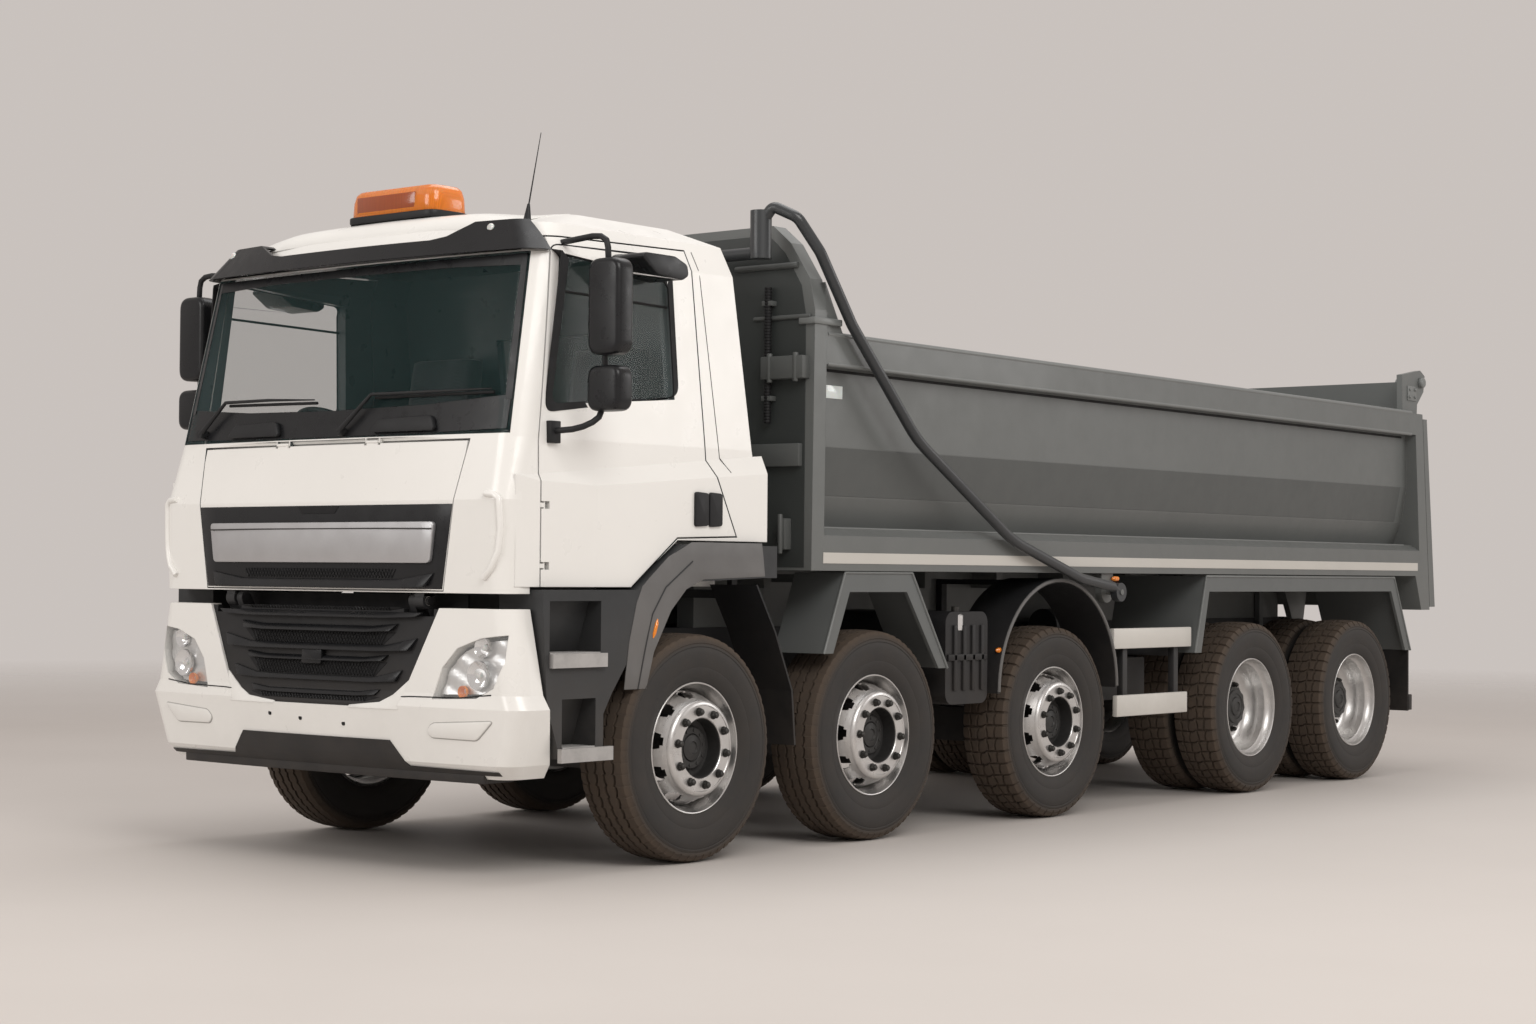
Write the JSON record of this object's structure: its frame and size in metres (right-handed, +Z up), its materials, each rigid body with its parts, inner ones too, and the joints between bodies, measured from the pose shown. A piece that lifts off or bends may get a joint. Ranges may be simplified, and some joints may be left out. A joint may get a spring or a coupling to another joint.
{
  "type": "five-axle dump truck",
  "caption": "Heavy tipping truck: forward-tilting cab, ladder frame on steered and driven axles, steel tipping bed with front hoist, top-hung tailgate and swinging cover bow.",
  "frame": {"origin": "on the ground, at the middle of the overall length and width", "axes": "+X forward towards the cab, +Y to the truck's left, +Z up"},
  "size_m": [8.9859, 2.96, 3.2612],
  "materials": {
    "cab_paint": "gloss",
    "bed_grey": "satin",
    "chassis_paint": "satin",
    "cast_parts": "matte",
    "tyre": "matte",
    "rim_silver": "satin",
    "guard_grey": "satin",
    "rail_white": "satin",
    "black_plastic": "matte",
    "gloss_black": "gloss",
    "tread_aluminium": "satin",
    "glazing": "gloss",
    "lamp_glass": "gloss",
    "amber_lamp": "gloss",
    "seat_fabric": "matte",
    "hoist_chrome": "polished",
    "tank_black": "satin"
  },
  "bodies": {
    "chassis": {"chassis_frame": "chassis_paint", "axles": "cast_parts", "leaf_springs": "chassis_paint", "powertrain": "cast_parts", "front_bumper": "cab_paint", "lower_grille": "black_plastic", "headlamps": "lamp_glass", "step_wells": "black_plastic", "step_treads": "tread_aluminium", "grey_mudguards": "guard_grey", "black_mudguards": "black_plastic", "side_guards": "rail_white", "side_tanks": "tank_black", "rear_underrun": "chassis_paint"},
    "knuckle_1_left": {"knuckle_1_left": "cast_parts"},
    "knuckle_1_right": {"knuckle_1_right": "cast_parts"},
    "knuckle_2_left": {"knuckle_2_left": "cast_parts"},
    "knuckle_2_right": {"knuckle_2_right": "cast_parts"},
    "wheel_1_left": {"tyre_1_left": "tyre", "rim_1_left": "rim_silver"},
    "wheel_1_right": {"tyre_1_right": "tyre", "rim_1_right": "rim_silver"},
    "wheel_2_left": {"tyre_2_left": "tyre", "rim_2_left": "rim_silver"},
    "wheel_2_right": {"tyre_2_right": "tyre", "rim_2_right": "rim_silver"},
    "wheel_3_left": {"tyre_3_left": "tyre", "rim_3_left": "rim_silver"},
    "wheel_3_right": {"tyre_3_right": "tyre", "rim_3_right": "rim_silver"},
    "wheel_4_left": {"tyre_4_left": "tyre", "rim_4_left": "rim_silver"},
    "wheel_4_right": {"tyre_4_right": "tyre", "rim_4_right": "rim_silver"},
    "wheel_5_left": {"tyre_5_left": "tyre", "rim_5_left": "rim_silver"},
    "wheel_5_right": {"tyre_5_right": "tyre", "rim_5_right": "rim_silver"},
    "cab": {"cab_shell": "cab_paint", "cab_glass": "glazing", "dashboard": "black_plastic", "seats": "seat_fabric", "sun_visor": "gloss_black", "roof_fittings": "amber_lamp"},
    "door_left": {"door_left": "cab_paint", "door_glass_left": "glazing", "mirrors_left": "gloss_black"},
    "door_right": {"door_right": "cab_paint", "door_glass_right": "glazing", "mirrors_right": "gloss_black"},
    "front_hatch": {"front_hatch": "gloss_black"},
    "bed": {"bed": "bed_grey"},
    "tailgate": {"tailgate": "bed_grey"},
    "cover_bow": {"cover_bow": "bed_grey"},
    "hoist_barrel": {"hoist_barrel": "chassis_paint"},
    "hoist_stage_1": {"hoist_stage_1": "hoist_chrome"},
    "hoist_stage_2": {"hoist_stage_2": "hoist_chrome"},
    "hoist_stage_3": {"hoist_stage_3": "hoist_chrome"},
    "hoist_stage_4": {"hoist_stage_4": "hoist_chrome"}
  },
  "joints": [
    {"name": "steer_1_left", "type": "hinge", "parent": "chassis", "child": "knuckle_1_left", "pos_m": [3.245, 0.87, 0.52], "axis": [0, 0, 1], "range_deg": [-24, 24]},
    {"name": "steer_1_right", "type": "hinge", "parent": "chassis", "child": "knuckle_1_right", "pos_m": [3.245, -0.87, 0.52], "axis": [0, 0, 1], "range_deg": [-24, 24]},
    {"name": "steer_2_left", "type": "hinge", "parent": "chassis", "child": "knuckle_2_left", "pos_m": [1.891, 0.87, 0.52], "axis": [0, 0, 1], "range_deg": [-18.96, 18.96]},
    {"name": "steer_2_right", "type": "hinge", "parent": "chassis", "child": "knuckle_2_right", "pos_m": [1.891, -0.87, 0.52], "axis": [0, 0, 1], "range_deg": [-18.96, 18.96]},
    {"name": "roll_1_left", "type": "hinge", "parent": "knuckle_1_left", "child": "wheel_1_left", "pos_m": [3.245, 1, 0.52], "axis": [0, 1, 0], "continuous": true},
    {"name": "roll_1_right", "type": "hinge", "parent": "knuckle_1_right", "child": "wheel_1_right", "pos_m": [3.245, -1, 0.52], "axis": [0, 1, 0], "continuous": true},
    {"name": "roll_2_left", "type": "hinge", "parent": "knuckle_2_left", "child": "wheel_2_left", "pos_m": [1.891, 1, 0.52], "axis": [0, 1, 0], "continuous": true},
    {"name": "roll_2_right", "type": "hinge", "parent": "knuckle_2_right", "child": "wheel_2_right", "pos_m": [1.891, -1, 0.52], "axis": [0, 1, 0], "continuous": true},
    {"name": "roll_3_left", "type": "hinge", "parent": "chassis", "child": "wheel_3_left", "pos_m": [0.254, 1, 0.52], "axis": [0, 1, 0], "continuous": true},
    {"name": "roll_3_right", "type": "hinge", "parent": "chassis", "child": "wheel_3_right", "pos_m": [0.254, -1, 0.52], "axis": [0, 1, 0], "continuous": true},
    {"name": "roll_4_left", "type": "hinge", "parent": "chassis", "child": "wheel_4_left", "pos_m": [-1.953, 1, 0.52], "axis": [0, 1, 0], "continuous": true},
    {"name": "roll_4_right", "type": "hinge", "parent": "chassis", "child": "wheel_4_right", "pos_m": [-1.953, -1, 0.52], "axis": [0, 1, 0], "continuous": true},
    {"name": "roll_5_left", "type": "hinge", "parent": "chassis", "child": "wheel_5_left", "pos_m": [-3.338, 1, 0.52], "axis": [0, 1, 0], "continuous": true},
    {"name": "roll_5_right", "type": "hinge", "parent": "chassis", "child": "wheel_5_right", "pos_m": [-3.338, -1, 0.52], "axis": [0, 1, 0], "continuous": true},
    {"name": "cab_tilt", "type": "hinge", "parent": "chassis", "child": "cab", "pos_m": [4.395, 0, 1.185], "axis": [0, 1, 0], "range_deg": [0, 55]},
    {"name": "door_left_swing", "type": "hinge", "parent": "cab", "child": "door_left", "pos_m": [4.203, 1.158, 1.6], "axis": [0, 0, -1], "range_deg": [0, 68]},
    {"name": "door_right_swing", "type": "hinge", "parent": "cab", "child": "door_right", "pos_m": [4.203, -1.158, 1.6], "axis": [0, 0, 1], "range_deg": [0, 68]},
    {"name": "hatch_lift", "type": "hinge", "parent": "cab", "child": "front_hatch", "pos_m": [4.403, 0, 1.883], "axis": [0, -1, 0], "range_deg": [0, 70]},
    {"name": "bed_tip", "type": "hinge", "parent": "chassis", "child": "bed", "pos_m": [-3.905, 0, 1], "axis": [0, -1, 0], "range_deg": [0, 45]},
    {"name": "tailgate_swing", "type": "hinge", "parent": "bed", "child": "tailgate", "pos_m": [-4.305, 0, 2.65], "axis": [0, 1, 0], "range_deg": [0, 75]},
    {"name": "cover_bow_swing", "type": "hinge", "parent": "bed", "child": "cover_bow", "pos_m": [-0.245, 0, 1.225], "axis": [0, -1, 0], "range_deg": [0, 118]},
    {"name": "hoist_swing", "type": "hinge", "parent": "chassis", "child": "hoist_barrel", "pos_m": [2.485, 0, 1], "axis": [0, -1, 0], "range_deg": [0, 22.57]},
    {"name": "hoist_slide_1", "type": "slide", "parent": "hoist_barrel", "child": "hoist_stage_1", "axis": [-0.1217, 0, 0.9926], "range_m": [0, 1.1859]},
    {"name": "hoist_slide_2", "type": "slide", "parent": "hoist_stage_1", "child": "hoist_stage_2", "axis": [-0.1217, 0, 0.9926], "range_m": [0, 1.1859]},
    {"name": "hoist_slide_3", "type": "slide", "parent": "hoist_stage_2", "child": "hoist_stage_3", "axis": [-0.1217, 0, 0.9926], "range_m": [0, 1.1859]},
    {"name": "hoist_slide_4", "type": "slide", "parent": "hoist_stage_3", "child": "hoist_stage_4", "axis": [-0.1217, 0, 0.9926], "range_m": [0, 1.1859]}
  ],
  "couplings": [
    {"joint": "steer_1_right", "follows": "steer_1_left", "ratio": 1},
    {"joint": "steer_2_left", "follows": "steer_1_left", "ratio": 0.79},
    {"joint": "steer_2_right", "follows": "steer_1_left", "ratio": 0.79},
    {"joint": "hoist_swing", "follows": "bed_tip", "ratio": 0.5005},
    {"joint": "hoist_slide_1", "follows": "bed_tip", "m_per_rad": 1.5073},
    {"joint": "hoist_slide_2", "follows": "bed_tip", "m_per_rad": 1.5073},
    {"joint": "hoist_slide_3", "follows": "bed_tip", "m_per_rad": 1.5073},
    {"joint": "hoist_slide_4", "follows": "bed_tip", "m_per_rad": 1.5073}
  ]
}
